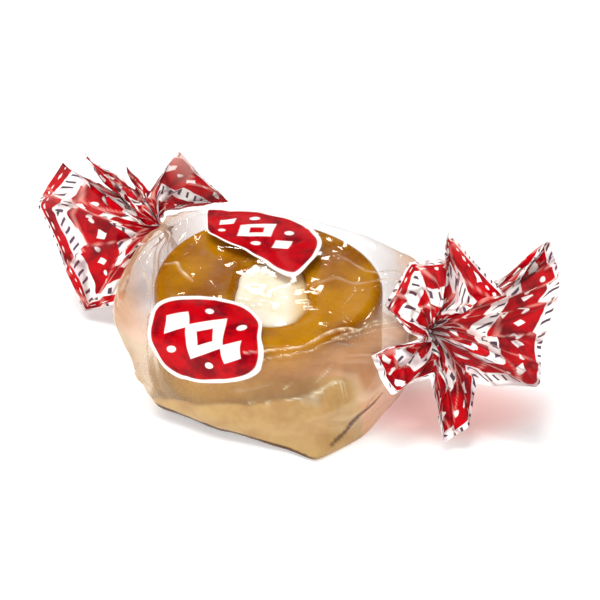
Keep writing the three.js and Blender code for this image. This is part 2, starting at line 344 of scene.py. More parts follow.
def body_sheet(end, x, angle):
    """Points of the sheet on one side of the middle, and the height of its main pleats."""
    distance = np.abs(x)
    neck_distance = abs(end.neck[0])
    turned = angle + end.turn * closing(distance, TWIST_START, neck_distance, TWIST_POWER)
    up, out = np.sin(turned), np.cos(turned)

    centre_share = closing(distance, SHIFT_START, neck_distance, SHIFT_POWER)
    centre_y = end.neck[1] * centre_share
    centre_z = mix(BODY_MID, end.neck[2], centre_share)

    top_close = closing(distance, end.top_end, neck_distance, end.top_power)
    sag_close = closing(distance, end.sag_end, neck_distance, end.sag_power)
    rise = BACK_RISE * smoothstep(out, -0.2, 0.7)
    top = mix(BODY_TOP + rise, end.neck[2] + NECK_RADIUS, top_close)
    bottom = mix(BODY_MID - BODY_SAG, end.neck[2] - NECK_RADIUS, sag_close)

    lowness = smoothstep(-up, -0.1, 0.7)
    square = mix(ROUND_POWER, BOX_POWER, lowness)
    roundness = closing(distance, end.box_end, neck_distance, SECTION_ROUNDING)
    power = 2 / mix(square, 2, roundness)
    wave = np.sin(x / 4.1 + 2 * angle) * np.cos(3 * angle - x / 7)
    slack = SLACK * (1 - closing(distance, SLACK_END, neck_distance, 1)) * (0.5 + 0.5 * wave)
    height = np.where(up > 0, top - centre_z, centre_z - bottom)
    z = centre_z + (height + slack) * signed_power(up, power)

    lean = end.box_lean * (1 - np.clip(z / LEAN_TOP, 0, 1))
    box_close = closing(distance + lean, end.box_end, neck_distance, end.box_power)
    front_share = np.maximum(lowness, end.front_share)
    back_share = np.maximum(lowness * BACK_BOX_SHARE, end.back_share)
    hug = hug_width(distance, neck_distance) * np.where(out < 0, 1, BACK_HUG)
    box = mix(BOX_WIDTH, NECK_RADIUS, box_close)
    width = mix(hug, np.maximum(hug, box), np.where(out < 0, front_share, back_share))
    y = centre_y + (width + slack) * signed_power(out, power)
    radius = np.minimum(np.hypot(y - centre_y, z - centre_z), PLEAT_REACH)
    pleat = pleat_share(end, distance, angle) * radius
    return np.stack(np.broadcast_arrays(x, y, z), -1), pleat


def tail_edge(end, turned):
    """The tail's free edge, measured from its neck: straight from one corner to the next."""
    corners = np.asarray(end.corners, float)
    count = len(corners)
    along = (turned - end.first_corner) / TURN * count
    index = np.floor(along + 1e-6).astype(int)
    share = np.maximum(along - index, 0)[..., None]
    return mix(corners[index % count], corners[(index + 1) % count], share)


def tail_sheet(end, share, angle):
    """Points of a tail's sheet, and what is left of the main pleats there."""
    turned = angle + end.turn
    ring = np.stack([np.zeros_like(turned), np.cos(turned), np.sin(turned)], -1) * NECK_RADIUS
    middle = ring * TAIL_FLARE + np.asarray(end.lead)
    edge = tail_edge(end, turned)
    s = share[..., None]
    place = (1 - s) ** 2 * ring + 2 * s * (1 - s) * middle + s**2 * edge + np.asarray(end.neck)
    pleat = pleat_share(end, abs(end.neck[0]), angle) * NECK_RADIUS * (1 - share) ** 3
    return place, pleat


def column_angles():
    """Angles of the grid's columns, twice: evenly apart on the body's middle section, and evenly
    apart as angles, for the tails."""
    dense = np.linspace(LAP_ANGLE, LAP_ANGLE + TURN + LAP_WIDTH, 60001)
    section = body_sheet(RIGHT, np.zeros(1), dense)[0]
    passed = np.concatenate([[0], np.linalg.norm(np.diff(section, axis=0), axis=-1).cumsum()])
    by_length = np.interp(np.linspace(0, passed[-1], COLUMNS), passed, dense)
    return by_length, np.linspace(dense[0], dense[-1], COLUMNS)


def tail_rows(end, shares, angles):
    share, angle = np.broadcast_arrays(shares[:, None], angles[None, :])
    place, pleat = tail_sheet(end, share, angle)
    return place, pleat, share, angle, math.copysign(1, end.neck[0])


def sheet_grid():
    """The whole plain sheet, row by row from the left tail's edge to the right tail's: points,
    pleat heights, and each point's tail share, angle and end."""
    by_length, by_angle = column_angles()
    shares = np.linspace(1, 0, TAIL_ROWS, endpoint=False)
    parts = [tail_rows(LEFT, shares, by_angle)]
    middle = (LEFT.neck[0] + RIGHT.neck[0]) / 2
    half = (RIGHT.neck[0] - LEFT.neck[0]) / 2
    even = np.linspace(-1, 1, BODY_ROWS)
    stations = middle + half * mix(even, np.sin(even * math.pi / 2), 0.6)
    for end, xs in ((LEFT, stations[stations < 0]), (RIGHT, stations[stations >= 0])):
        xs = xs[:, None]
        angle = mix(by_length, by_angle, smoothstep(np.abs(xs), 10.5, abs(end.neck[0])))
        place, pleat = body_sheet(end, xs, angle)
        parts.append((place, pleat, 0 * pleat, angle, math.copysign(1, end.neck[0])))
    parts.append(tail_rows(RIGHT, shares[::-1], by_angle))
    place, pleat, tail, angle = (np.concatenate([p[k] for p in parts]) for k in range(4))
    side = np.concatenate([np.full(len(p[0]), p[4]) for p in parts])
    return SimpleNamespace(angle=angle, place=place, pleat=pleat, tail=tail, side=side)


def sheet_normals(place):
    along = np.gradient(place, axis=0)
    across = np.gradient(place, axis=1)
    normal = np.cross(across, along)
    return normal / np.maximum(np.linalg.norm(normal, axis=-1, keepdims=True), 1e-9)


def sheet_lengths(place):
    """Distances along and across the unrolled sheet, from its middle and from its first edge."""
    steps = np.linalg.norm(np.diff(place, axis=0), axis=-1).mean(1)
    along = np.concatenate([[0], np.cumsum(steps)])
    middle = np.argmin(np.abs(place[:, 0, 0]))
    steps = np.linalg.norm(np.diff(place[middle], axis=0), axis=-1)
    across = np.concatenate([[0], np.cumsum(steps)])
    return along - along[middle], across


# ---- creases ----------------------------------------------------------------------------------
def facets(u, v, cell, stretch, rng):
    """Flat facets between straight creases: how much farther the second nearest of a set of
    scattered points is than the nearest, 0 on a crease and about 1 in the middle of a facet, and
    a number from -1 to 1 for each facet."""
    low = np.array([u.min() / stretch, v.min()]) - cell
    high = np.array([u.max() / stretch, v.max()]) + cell
    count = int(np.prod(high - low) / cell**2)
    seeds = rng.uniform(low, high, (count, 2))
    numbers = np.random.default_rng(count).uniform(-1, 1, count)
    height = np.empty((len(u), len(v)))
    number = np.empty((len(u), len(v)))
    for i, along in enumerate(u / stretch):
        gap = (seeds[:, 0] - along)[None, :] ** 2 + (seeds[:, 1][None, :] - v[:, None]) ** 2
        nearest = np.sqrt(np.partition(gap, 1, axis=1)[:, :2])
        height[i] = (nearest[:, 1] - nearest[:, 0]) / cell
        number[i] = numbers[np.argmin(gap, axis=1)]
    return height, number


def radiating_creases(grid, distance, rng):
    """Sharp small pleats that radiate from each neck over the body's end and over the tail."""
    height = np.zeros(grid.pleat.shape)
    for side, end in ((-1, LEFT), (1, RIGHT)):
        rows = grid.side == side
        tail = grid.tail[rows]
        reach = distance[rows]
        for _ in range(RADIATING_PLEATS):
            middle = rng.uniform(0, TURN)
            width = rng.uniform(0.05, 0.16)
            start = rng.uniform(6, 16)
            size = rng.uniform(-0.6, 1.0)
            drift = rng.uniform(-0.15, 0.15)
            turned = grid.angle[rows] - middle - drift * (reach - 14) / 6
            apart = np.abs((turned + math.pi) % TURN - math.pi)
            crest = np.maximum(0, 1 - apart / width)
            on_body = closing(reach, start, abs(end.neck[0]), 0.8)
            on_body = on_body * (1 - 0.75 * closing(reach, 17, 19.5, 1))
            on_tail = 0.25 + 0.9 * np.sin(np.minimum(tail * 1.25, 1) * math.pi * 0.62)
            amount = np.where(tail > 0, on_tail, on_body)
            height[rows] += size * crest * amount
    return height


def line_distance(grid, u, v, points):
    """On the unrolled sheet: distance to the broken line through points, and place along it."""
    places = []
    for point in points:
        away = np.linalg.norm(grid.place - np.asarray(point), axis=-1)
        away[grid.tail > 0] = 1e9
        i, j = np.unravel_index(np.argmin(away), away.shape)
        places.append((u[i], v[j]))
    apart = np.full(grid.pleat.shape, 1e9)
    along = np.zeros(grid.pleat.shape)
    passed = 0.0
    for (u0, v0), (u1, v1) in zip(places, places[1:]):
        length = math.hypot(u1 - u0, v1 - v0)
        du, dv = u[:, None] - u0, v[None, :] - v0
        share = np.clip((du * (u1 - u0) + dv * (v1 - v0)) / length**2, 0, 1)
        gap = np.hypot(du - share * (u1 - u0), dv - share * (v1 - v0))
        closer = gap < apart
        along = np.where(closer, passed + share * length, along)
        apart = np.where(closer, gap, apart)
        passed += length
    return apart, along, passed


def long_creases(grid, u, v):
    """Sharp ridges along the lines of CREASES, and the painted highlight along each."""
    height = np.zeros(grid.pleat.shape)
    painted_glint = np.zeros(grid.pleat.shape)
    for points, (size, width, glint_strength) in CREASES:
        apart, along, length = line_distance(grid, u, v, points)
        # Each crease's painted highlight, broken along its length.
        broken = 0.75 + 0.25 * np.sin(along * 2.3 + size * 40)
        taper = 0.35 + 0.65 * np.sin(np.clip(along / length, 0, 1) * math.pi) ** 0.5
        crest = np.maximum(1 - apart / (width * taper), 0)
        height += size * taper * crest
        painted_glint = np.maximum(painted_glint, glint_strength * broken * np.minimum(crest * 1.6, 1))
    return height, painted_glint


# A painted dark line of shade along each of FOLDS.
def fold_shade_lines(grid, u, v):
    dark = np.zeros(grid.pleat.shape)
    for points, width in FOLDS:
        apart, along, length = line_distance(grid, u, v, points)
        taper = np.sin(np.clip(along / length, 0.03, 0.97) * math.pi) ** 0.4
        dark = np.maximum(dark, smoothstep(1.5 - apart / (width * taper), 0, 1))
    return dark


def neck_gathers(grid, u):
    """How far the film is drawn in at the twists, fold by fold, until it closes the passage."""
    depth = np.zeros(grid.pleat.shape)
    least, more = GATHER_DEPTH
    folds = least + more * np.abs(np.sin(grid.angle * GATHER_WAVES + 0.7 * np.sin(grid.angle * 3)))
    for side in (-1, 1):
        on_side = grid.side == side
        first_tail_row = np.nonzero(on_side & (grid.tail[:, 0] > 0))[0]
        neck_u = u[first_tail_row[-1 if side < 0 else 0]]
        nearness = np.exp(-(((u - neck_u) / GATHER_REACH) ** 2)) * on_side
        depth = np.maximum(depth, NECK_RADIUS * folds * nearness[:, None])
    return depth


def caramel_distance(p):
    """How far points are outside the caramel's rounded disc, and the direction straight out."""
    radial = np.hypot(p[..., 0], p[..., 1])
    half = (DISC_TOP - DISC_BOTTOM) / 2
    centre = (DISC_TOP + DISC_BOTTOM) / 2
    edge = np.where(p[..., 2] > centre, DISC_EDGE, DISC_FOOT)
    a = radial - (DISC_RADIUS * out_of_round(np.arctan2(p[..., 1], p[..., 0])) - edge)
    b = np.abs(p[..., 2] - centre) - (half - edge)
    inside = np.minimum(np.maximum(a, b), 0)
    gap = inside + np.hypot(np.maximum(a, 0), np.maximum(b, 0)) - edge
    weight_a = np.where((a > 0) | (a > b), np.maximum(a, 1e-6), 0)
    weight_b = np.where((b > 0) | (b >= a), np.maximum(b, 1e-6), 0)
    safe = np.maximum(radial, 1e-6)
    upward = np.sign(p[..., 2] - centre) * weight_b
    out = np.stack([p[..., 0] / safe * weight_a, p[..., 1] / safe * weight_a, upward], -1)
    return gap, out / np.maximum(np.linalg.norm(out, axis=-1, keepdims=True), 1e-9)


def film_points(grid, normal, u, v):
    """The crumpled sheet, the painted highlights along its creases, the painted shade in the
    bottoms of the tails' folds, and how far the print jumps from one of their facets to the
    next."""
    rng = np.random.default_rng(CRUMPLE_SEED)
    distance = np.abs(grid.place[..., 0])
    tail = grid.tail
    near_neck = smoothstep(distance, 7, 15)
    broad, middle, fine = (
        facets(u, v, *kind, rng)[0] - FACET_MEAN for kind in (BROAD, MIDDLE, FINE)
    )
    on_body = (tail == 0).astype(float)
    height = grid.pleat.copy()
    height += on_body * (0.42 * broad + mix(0.12, 0.22, near_neck) * middle + 0.05 * fine)
    radiating = radiating_creases(grid, distance, rng)
    ridged, jump = facets(u, v, *TAIL_RIDGES, rng)
    crumple = 0.6 * broad + 0.95 * middle + 0.3 * fine + 0.9 * (FACET_MEAN - ridged)
    height += (1 - on_body) * np.minimum(tail * 3, 1) * crumple
    ridges, lines = long_creases(grid, u, v)
    height += 0.5 * radiating * mix(1.0, 0.7, (tail > 0)) + ridges
    # Painted highlights: along the tails' facet crests, and on the body along radiating pleats and
    # long creases.
    crest = smoothstep(RIDGE_WIDTH - ridged, 0, RIDGE_WIDTH)
    creased = 0.8 * np.clip(radiating, 0, 1) ** 2
    painted_glint = np.clip(np.where(on_body > 0, np.maximum(creased, lines), 0.8 * crest), 0, 1)
    # Painted shade in the bottoms of the tails' folds.
    painted_valley_shade = smoothstep(VALLEY_WIDTH - (middle + FACET_MEAN), 0, VALLEY_WIDTH)
    painted_valley_shade = np.maximum(painted_valley_shade, smoothstep(-radiating, 0.15, 0.5)) * (1 - on_body)
    calm = np.where(tail > 0, 1, smoothstep(18.5 - distance, -1.0, 3.0) * 0.85 + 0.15)
    height *= calm
    height -= neck_gathers(grid, u)
    lap = closing(grid.angle, LAP_ANGLE + TURN - 0.1, LAP_ANGLE + TURN + 0.05, 1)
    height += LAP_RISE * lap
    place = grid.place + normal * height[..., None]
    for _ in range(3):
        gap, out = caramel_distance(place)
        push = np.where(tail > 0, 0, np.maximum(CONTACT - gap, 0))
        place = place + out * push[..., None]
    floor = np.where(tail > 0, TAIL_FLOOR, FILM_FLOOR)
    place[..., 2] = np.maximum(place[..., 2], floor)
    return place, painted_glint, painted_valley_shade, jump


def tail_corners(grid):
    """For each corner of each face: its distance from the tail's free edge, and its place across
    its own flat facet of the tail, in millimetres."""
    rows, columns = grid.pleat.shape
    steps = np.linalg.norm(np.diff(grid.place, axis=1, prepend=grid.place[:, :1]), axis=-1)
    across = steps.cumsum(1)
    steps = np.linalg.norm(np.diff(grid.place, axis=0), axis=-1)
    from_first = np.concatenate([np.zeros((1, columns)), np.cumsum(steps, 0)])
    from_edge = np.where(grid.side[:, None] < 0, from_first, from_first[-1] - from_first)
    corners = np.zeros((rows - 1, columns - 1, 4, 2))
    for side, end in ((-1, LEFT), (1, RIGHT)):
        count = len(end.corners)
        angle = grid.angle[0]
        along = (angle + end.turn - end.first_corner) / TURN * count
        facet = np.floor((along[:-1] + along[1:]) / 2)
        middle = np.interp(facet + 0.5, along, np.arange(columns))
        left = np.clip(np.floor(middle).astype(int), 0, columns - 2)
        share = middle - left
        centre = across[:, left] * (1 - share) + across[:, left + 1] * share
        face_column = np.arange(columns - 1)[None, :]
        rows_here = np.nonzero(grid.side[:-1] == side)[0]
        for slot, (di, dj) in enumerate(((0, 0), (0, 1), (1, 1), (1, 0))):
            i = (rows_here + di)[:, None]
            j = face_column + dj
            slant = PRINT_SLANT - PRINT_SLANT * np.cos(angle[j] + end.turn - end.print_slant)
            slant = slant * smoothstep(from_edge[i, j], 0.3, 1.2)
            corners[rows_here, :, slot, 0] = from_edge[i, j] + slant + end.print_shift
            from_centre = across[i, j] - centre[i, face_column]
            corners[rows_here, :, slot, 1] = from_centre + FACET_SHIFT * facet
    return corners.reshape(-1, 2)


def film_zones(grid, place):
    """From 0 to 1 at each point: how far the film stands off the caramel and how much it is the
    lower front, both given a painted veil of reflected light, and where it touches the floor
    along the front, given a painted contact shadow."""
    x, y, z = place[..., 0], place[..., 1], place[..., 2]
    body = grid.tail == 0
    # Where the film stands off the caramel it gets a painted veil of reflected light, more at the
    # right end.
    standoff = smoothstep(np.hypot(x, y), DISC_RADIUS + 1.0, DISC_RADIUS + 4.5)
    right_end = smoothstep(x, 12, 15) * smoothstep(12.5 - z, 0, 3) * smoothstep(-y, 3, 7)
    standoff = standoff * (1 + 0.45 * right_end)

    # The lower front gets the painted veil too, up to a wavy ledge.
    front = smoothstep(-y, 3, 9) * smoothstep(17.5 - x, 0, 2.0) * body
    ledge_height = 5.4 + 0.26 * x + 0.2 * np.sin(x * 0.9)
    under_ledge = smoothstep(ledge_height - z, -0.3, 0.5)
    low_front = front * mix(0.34 * smoothstep(12.5 - z, 0, 2), 1, under_ledge)

    # Where the film meets the floor along the front: a painted contact shadow.
    contact_height = 1.87 - 0.084 * x
    along_front = smoothstep(x, -10.5, -7.5) * smoothstep(15.0 - x, 0, 2.5)
    along_front = along_front * smoothstep(-y, 11, 12.5) * body
    return standoff, low_front, smoothstep(contact_height - z, 0, 0.2) * along_front


def make_film():
    grid = sheet_grid()
    normal = sheet_normals(grid.place)
    u, v = sheet_lengths(grid.place)
    place, painted_glint, painted_valley_shade, jump = film_points(grid, normal, u, v)
    rows, columns = place.shape[:2]
    film = new_object("film", place.reshape(-1, 3), grid_faces(rows, columns))
    mesh = film.data
    corner_vertex = np.empty(len(mesh.loops), int)
    mesh.loops.foreach_get("vertex_index", corner_vertex)
    flat = np.stack(np.broadcast_arrays(u[:, None], v[None, :]), -1).reshape(-1, 2) * MM
    layer = mesh.uv_layers.new(name="sheet")
    layer.uv.foreach_set("vector", flat[corner_vertex].ravel())
    layer = mesh.uv_layers.new(name="tails")
    layer.uv.foreach_set("vector", tail_corners(grid).ravel() * MM)
    standoff, low_front, painted_contact_shadow = film_zones(grid, place)
    values_by_name = {
        "tail": grid.tail,
        "standoff": standoff,
        "low_front": low_front,
        # Painted highlights along the creases.
        "painted_glint": painted_glint,
        # Painted shade: the contact shadow along the front and the dark lines in folds.
        "fold": np.maximum(painted_contact_shadow, fold_shade_lines(grid, u, v)),
        # Painted shade in the tails' fold bottoms.
        "painted_valley_shade": painted_valley_shade,
        "jump": jump,
    }
    for name, values in values_by_name.items():
        attribute = mesh.attributes.new(name, "FLOAT", "POINT")
        attribute.data.foreach_set("value", np.ascontiguousarray(values, float).ravel())
    section = place[np.argmin(np.abs(grid.place[:, 0, 0]))]
    label_v = v[np.argmin(np.hypot(section[:, 1] - LABEL_AT[1], section[:, 2] - LABEL_AT[2]))]
    return film, label_v


# ---- caramel and cream ------------------------------------------------------------------------
def out_of_round(angle):
    return 1 + OVAL * np.cos(2 * angle) + 0.6 * OVAL * np.cos(3 * angle - 1.1)


def bore_wobble(angle):
    """The edge between cream and caramel wanders a little."""
    return 0.16 * np.cos(3 * angle + 0.4) + 0.1 * np.cos(5 * angle - 1.0) + 0.05 * np.cos(9 * angle)


def cream_oval(angle):
    return CREAM_OVAL * np.cos(2 * (angle - CREAM_TURN))


def make_caramel():
    """A ring of soft caramel, rounded at its rims, open in the middle for the cream."""
    sides = 180
    bore = CREAM_RADIUS + BORE_GAP
    foot, rim = DISC_RADIUS - DISC_FOOT, DISC_RADIUS - DISC_EDGE
    arc = np.linspace(0, math.pi / 2, 14)
    lip = 0.5
    low = [(r, DISC_BOTTOM) for r in np.linspace(bore + lip, foot, 10)]
    low += [
        (foot + DISC_FOOT * math.sin(a), DISC_BOTTOM + DISC_FOOT * (1 - math.cos(a)))
        for a in arc[1:]
    ]
    side = np.linspace(DISC_BOTTOM + DISC_FOOT, DISC_TOP - DISC_EDGE, 12)
    high = [(DISC_RADIUS, z) for z in side[1:-1]]
    high += [(rim + DISC_EDGE * math.cos(a), DISC_TOP - DISC_EDGE * (1 - math.sin(a))) for a in arc]
    high += [(r, DISC_TOP) for r in np.linspace(rim, bore + lip, 12)[1:]]
    wall = [(bore, DISC_TOP - lip), (bore, (DISC_TOP + DISC_BOTTOM) / 2), (bore, DISC_BOTTOM + lip)]
    profile = np.array(low + high + wall)
    angle = np.linspace(0, TURN, sides, endpoint=False)[:, None]
    r, z = profile[:, 0][None, :], profile[:, 1][None, :]
    outward = smoothstep(r, bore, foot)
    inner = r * (1 + cream_oval(angle)) + bore_wobble(angle)
    radius = mix(inner, r * out_of_round(angle), outward)
    swell = 0.1 * np.sin(r / 2.1 + 3 * angle) * smoothstep(r, bore + 1, foot)
    height = z + np.sign(z - (DISC_TOP + DISC_BOTTOM) / 2) * (swell - 0.1)
    inward = 1 - outward
    x = radius * np.cos(angle) + CREAM_AT[0] * inward
    y = radius * np.sin(angle) + CREAM_AT[1] * inward
    verts = np.stack([x, y, height + 0 * angle], -1)
    columns = len(profile)
    faces = []
    for i in range(sides):
        here, after = i * columns, (i + 1) % sides * columns
        for j in range(columns):
            k = (j + 1) % columns
            faces.append((here + j, after + j, after + k, here + k))
    return new_object("caramel_disc", verts.reshape(-1, 3), faces)


def make_cream():
    """The cream core, as deep as the disc, with soft uneven ends."""
    sides, rings = 96, 14
    low, high = DISC_BOTTOM + CREAM_DISH, DISC_TOP - CREAM_DISH
    angle = np.linspace(0, TURN, sides, endpoint=False)[:, None]
    share = np.linspace(0.05, 1, rings)[None, :]
    edge = CREAM_RADIUS * (1 + cream_oval(angle)) + bore_wobble(angle)
    radius = edge * share
    drop = 0.45 * np.maximum(share - 0.86, 0) ** 2 / 0.14**2
    lumps = 0.1 * np.sin(radius * 1.9 + 2 * angle) * np.cos(3 * angle + radius) * (1 - share)
    cap = np.stack([radius * np.cos(angle), radius * np.sin(angle), lumps - drop], -1)
    top = cap + (0, 0, high)
    bottom = cap * (1, 1, -1) + (0, 0, low)
    verts = np.concatenate([top.reshape(-1, 3), bottom.reshape(-1, 3), [(0, 0, high), (0, 0, low)]])
    verts += (*CREAM_AT, 0)
    top_middle, bottom_middle = len(verts) - 2, len(verts) - 1
    offset = sides * rings
    faces = []
    for i in range(sides):
        a, b = i * rings, (i + 1) % sides * rings
        faces.append((top_middle, a, b))
        faces.append((bottom_middle, offset + b, offset + a))
        for j in range(rings - 1):
            faces.append((a + j, a + j + 1, b + j + 1, b + j))
            faces.append((offset + a + j, offset + b + j, offset + b + j + 1, offset + a + j + 1))
        last = rings - 1
        faces.append((a + last, offset + a + last, offset + b + last, b + last))
    return new_object("cream_core", verts, faces)


# ---- materials --------------------------------------------------------------------------------
class Nodes:
    """Short calls to build a material's node tree."""

    def __init__(self, name):
        self.material = bpy.data.materials.new(name)
        self.material.use_nodes = True
        self.tree = self.material.node_tree
        self.tree.nodes.clear()
        self.output = self.tree.nodes.new("ShaderNodeOutputMaterial")
        self.shader = self.tree.nodes.new("ShaderNodeBsdfPrincipled")
        self.tree.links.new(self.shader.outputs[0], self.output.inputs["Surface"])

    def put(self, socket, value):
        if isinstance(value, bpy.types.NodeSocket):
            self.tree.links.new(value, socket)
        elif socket.type == "RGBA" and len(value) == 3:
            socket.default_value = (*value, 1)
        else:
            socket.default_value = value

    def set(self, **inputs):
        for name, value in inputs.items():
            self.put(self.shader.inputs[name.replace("_", " ")], value)

    def math(self, operation, a, b=0.0, c=0.0, clamp=False):
        node = self.tree.nodes.new("ShaderNodeMath")
        node.operation = operation
        node.use_clamp = clamp
        for socket, value in zip(node.inputs, (a, b, c)):
            self.put(socket, value)
        return node.outputs[0]

    def ramp(self, value, low, high, to_low=0.0, to_high=1.0):
        """A smooth step of value from low to high, given out between to_low and to_high."""
        node = self.tree.nodes.new("ShaderNodeMapRange")
        node.interpolation_type = "SMOOTHSTEP"
        for socket, item in zip(node.inputs, (value, low, high, to_low, to_high)):
            self.put(socket, item)
        return node.outputs[0]

    def colour(self, share, a, b):
        node = self.tree.nodes.new("ShaderNodeMix")
        node.data_type = "RGBA"
        self.put(node.inputs[0], share)
        self.put(node.inputs[6], a)
        self.put(node.inputs[7], b)
        return node.outputs[2]

    def noise(self, vector, scale, detail=3.0, rough=0.5):
        node = self.tree.nodes.new("ShaderNodeTexNoise")
        self.put(node.inputs["Vector"], vector)
        self.put(node.inputs["Scale"], scale)
        self.put(node.inputs["Detail"], detail)
        self.put(node.inputs["Roughness"], rough)
        return node.outputs["Fac"]

    def object_place(self):
        return self.tree.nodes.new("ShaderNodeTexCoord").outputs["Object"]

    def attribute(self, name):
        node = self.tree.nodes.new("ShaderNodeAttribute")
        node.attribute_name = name
        return node.outputs["Fac"]

    def split(self, vector):
        """The first two coordinates of a vector."""
        node = self.tree.nodes.new("ShaderNodeSeparateXYZ")
        self.put(node.inputs[0], vector)
        return node.outputs[0], node.outputs[1]

    def flat(self, name):
        """Coordinates of one of the film's flat layouts, in millimetres."""
        node = self.tree.nodes.new("ShaderNodeUVMap")
        node.uv_map = name
        return [self.math("DIVIDE", value, MM) for value in self.split(node.outputs[0])]

    def about(self, x, y, middle, turn):
        """Coordinates about a middle, along and across a direction turned from x."""
        dx = self.math("SUBTRACT", x, middle[0])
        dy = self.math("SUBTRACT", y, middle[1])
        c, s = math.cos(turn), math.sin(turn)
        along = self.math("ADD", self.math("MULTIPLY", dx, c), self.math("MULTIPLY", dy, s))
        across = self.math("SUBTRACT", self.math("MULTIPLY", dy, c), self.math("MULTIPLY", dx, s))
        return along, across

    def sum_of_squares(self, x, y):
        return self.math("ADD", self.math("MULTIPLY", x, x), self.math("MULTIPLY", y, y))

    def bump(self, height, distance, strength=1.0):
        node = self.tree.nodes.new("ShaderNodeBump")
        self.put(node.inputs["Height"], height)
        self.put(node.inputs["Distance"], distance)
        self.put(node.inputs["Strength"], strength)
        return node.outputs[0]


def srgb(red, green, blue):
    """A colour as seen on a screen, 0 to 255, as light."""
    seen = (c / 255 for c in (red, green, blue))
    return tuple(c / 12.92 if c < 0.04045 else ((c + 0.055) / 1.055) ** 2.4 for c in seen)


CARAMEL_LIGHT = srgb(187, 127, 4)
CARAMEL_DARK = srgb(144, 82, 0)
CREAM = srgb(250, 243, 222)
CREAM_WARM = srgb(240, 224, 186)
CREAM_EDGE = srgb(226, 190, 132)
PRINT_RED = srgb(186, 0, 14)
PRINT_DEEP = srgb(122, 0, 14)
PRINT_WHITE = srgb(250, 244, 240)
PRINT_SHADE = srgb(222, 202, 208)
# Painted highlight on the crests of the tails' folds.
PAINTED_CREST_GLINT = srgb(255, 190, 176)
PRINT_DARK = srgb(84, 66, 78)
FILM_TINT = srgb(255, 250, 240)
# Painted veil: tan colours standing for the floor mirrored in the film and the caramel-lit shade
# behind it.
PAINTED_VEIL_FRONT = srgb(202, 163, 98)
PAINTED_VEIL_FRONT_DEEP = srgb(184, 140, 80)
PAINTED_VEIL_ENDS = srgb(218, 160, 108)
# Painted highlight along the body's creases.
PAINTED_CREASE_GLINT = srgb(255, 240, 204)
# Painted shade in the film's folds and along its contact with the floor.
PAINTED_FOLD_SHADE = srgb(92, 62, 40)
# Painted shade in the tails' fold bottoms and towards their necks.
PAINTED_TAIL_SHADE = srgb(92, 2, 12)

# Shares of the painted veil, the painted crease highlights and the painted fold shade in the film's
# cover.
PAINTED_SHARES = (0.5, 0.72, 0.8, 0.85)  # film that stands off, lower front, pale creases, folds
PRINT_COVER = 0.99  # how much of the light the printed film stops


def caramel_material():
    n = Nodes("caramel")
    place = n.object_place()
    cloud = n.noise(place, 130, 3, 0.5)
    share = n.ramp(cloud, 0.36, 0.64)
    grain = n.noise(place, 1400, 3, 0.6)
    n.set(
        Base_Color=n.colour(share, CARAMEL_LIGHT, CARAMEL_DARK),
        Roughness=n.ramp(grain, 0.3, 0.8, 0.22, 0.4),
        Subsurface_Weight=0.25,
        Subsurface_Radius=(1.0, 0.45, 0.1),
        Subsurface_Scale=0.0022,
        Specular_IOR_Level=0.25,
        Normal=n.bump(grain, 0.00004, 0.4),
    )
    return n.material


# Towards one side the cream takes up the caramel's colour, between these distances in metres.
CREAM_FADE = (0.0022, 0.0056)


def cream_material():
    n = Nodes("cream")
    place = n.object_place()
    cloud = n.noise(place, 260, 4, 0.6)
    grain = n.noise(place, 2600, 3, 0.6)
    x, y = n.split(place)
    sideways = n.math("MULTIPLY_ADD", y, 0.45, x)
    clean = n.colour(n.ramp(cloud, 0.4, 0.75), CREAM, CREAM_WARM)
    n.set(
        Base_Color=n.colour(n.ramp(sideways, *CREAM_FADE), clean, CREAM_EDGE),
        Roughness=0.55,
        Subsurface_Weight=0.3,
        Subsurface_Radius=(1.0, 0.8, 0.5),
        Subsurface_Scale=0.0015,
        Normal=n.bump(grain, 0.00012, 0.6),
    )
    return n.material


def band(n, value, low, high, soft=0.05):
    """1 between low and high."""
    rise = n.ramp(value, low - soft, low + soft)
    fall = n.ramp(value, high - soft, high + soft, 1.0, 0.0)
    return n.math("MULTIPLY", rise, fall)


def medallion(n, u, v, middle, turn, size, bend, taper):
    """The label's masks: where it is at all, and where it is red round its white motif."""
    x, y = n.about(u, v, middle, turn)
    y = n.math("MULTIPLY_ADD", n.math("SINE", n.math("MULTIPLY", x, TURN / size[0])), bend, y)
    y = n.math("DIVIDE", y, n.math("MULTIPLY_ADD", x, taper / (size[0] / 2), 1.0))
    powers = [
        n.math("POWER", n.math("ABSOLUTE", n.math("DIVIDE", value, length / 2)), LABEL_SQUARENESS)
        for value, length in zip((x, y), size)
    ]
    radius = n.math("POWER", n.math("ADD", *powers), 1 / LABEL_SQUARENESS)
    whole = n.ramp(radius, 0.98, 1.01, 1.0, 0.0)
    red = n.ramp(radius, *LABEL_WHITE_RIM, 1.0, 0.0)
    scale = size[1] / MOTIF_WIDTH
    hollow = n.math("SUBTRACT", 1.0, diamond(n, x, y, 0.0, 1.3 * scale))
    marks = [n.math("MULTIPLY", diamond(n, x, y, 0.0, 3.0 * scale), hollow)]
    marks += [diamond(n, x, y, at, 1.5 * scale) for at in (-4.3, 4.3)]
    marks += [dot(n, x, y, (i * 2.6, j * 3.3 * scale), 0.5) for i in (-1, 1) for j in (-1, 1)]
    white = highest(n, marks)
    return whole, n.math("MULTIPLY", red, n.math("SUBTRACT", 1.0, white))


def diamond(n, x, y, at, half):
    across = n.math("MULTIPLY", n.math("ABSOLUTE", y), 0.8)
    reach = n.math("ADD", n.math("ABSOLUTE", n.math("SUBTRACT", x, at)), across)
    return n.ramp(reach, half - 0.1, half + 0.1, 1.0, 0.0)


def dot(n, x, y, at, radius):
    dx, dy = n.math("SUBTRACT", x, at[0]), n.math("SUBTRACT", y, at[1])
    reach = n.math("SQRT", n.sum_of_squares(dx, dy))
    return n.ramp(reach, radius - 0.08, radius + 0.08, 1.0, 0.0)


